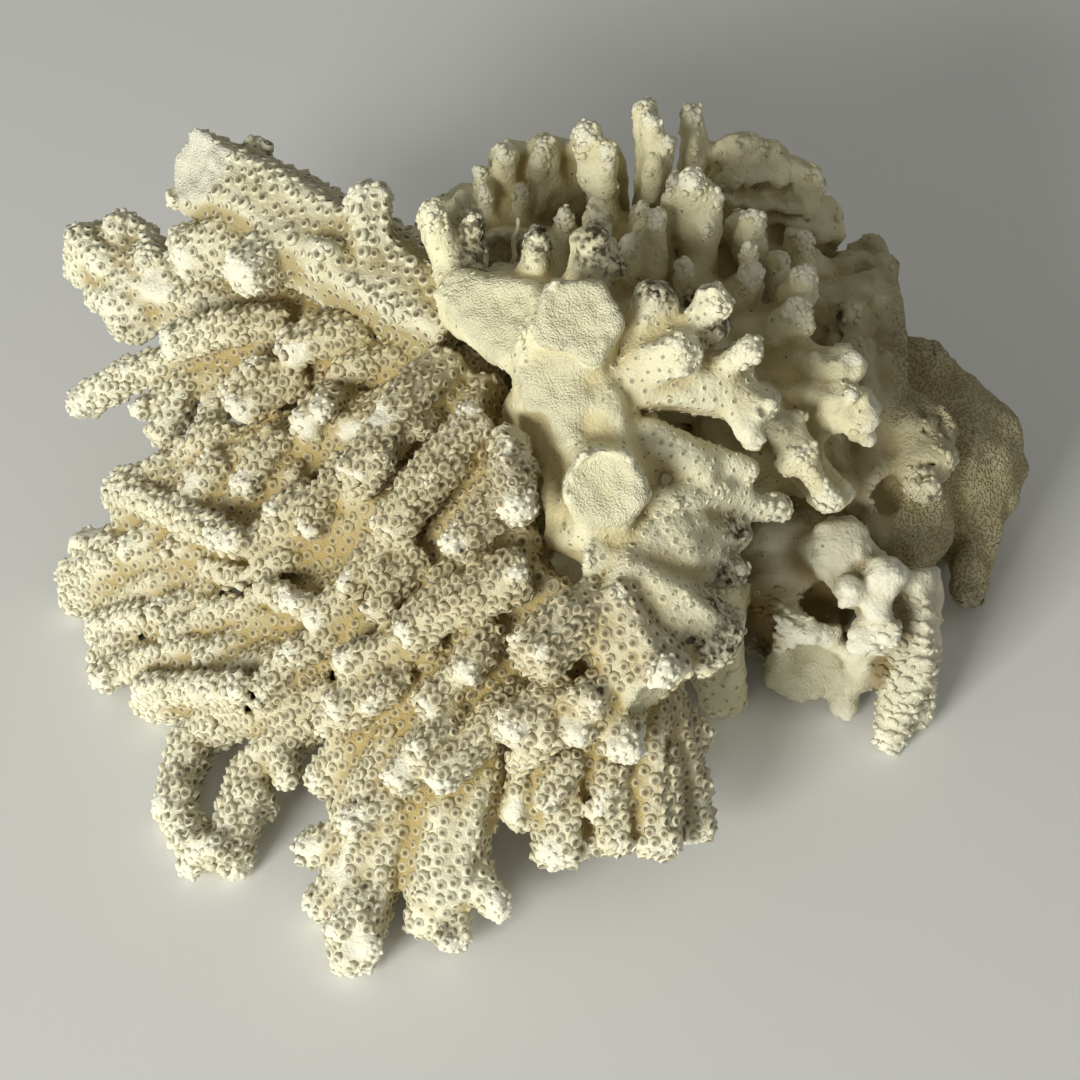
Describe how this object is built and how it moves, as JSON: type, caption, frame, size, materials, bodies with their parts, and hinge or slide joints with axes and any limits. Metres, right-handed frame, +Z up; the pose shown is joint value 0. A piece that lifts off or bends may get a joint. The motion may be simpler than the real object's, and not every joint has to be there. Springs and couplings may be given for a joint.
{
  "type": "branching coral",
  "caption": "Bleached branching coral: a fan of scaly finger branchlets, a crown of worn fingers and a porous foot round a smooth broken holdfast.",
  "frame": {"origin": "middle of the flat cut under the holdfast", "axes": "+Z up, +X along the width, to the right in the picture, -Y towards the viewer"},
  "size_m": [0.1824, 0.1485, 0.0832],
  "materials": {
    "smooth_coral": "matt, chalky, uneven",
    "pored_coral": "matt, chalky, uneven",
    "pitted_coral": "matt, chalky, uneven",
    "scaly_coral": "matt, chalky, uneven",
    "worn_coral": "matt, chalky, uneven",
    "porous_coral": "matt, chalky, uneven",
    "rippled_coral": "matt, chalky, uneven"
  },
  "bodies": {
    "root": {"holdfast": "smooth_coral", "right_branch_upper": "pored_coral", "right_branch_middle": "pored_coral", "right_branch_lower": "pored_coral", "right_branch_inner": "pored_coral", "upper_left_branch": "pitted_coral", "fan_upper": "scaly_coral", "fan_middle": "scaly_coral", "fan_lower": "scaly_coral", "loop_branch": "scaly_coral", "front_branch": "scaly_coral", "front_right_branch": "scaly_coral", "crown_middle": "worn_coral", "crown_left": "worn_coral", "crown_right": "worn_coral", "right_mass": "porous_coral", "right_feet": "rippled_coral"}
  },
  "joints": []
}
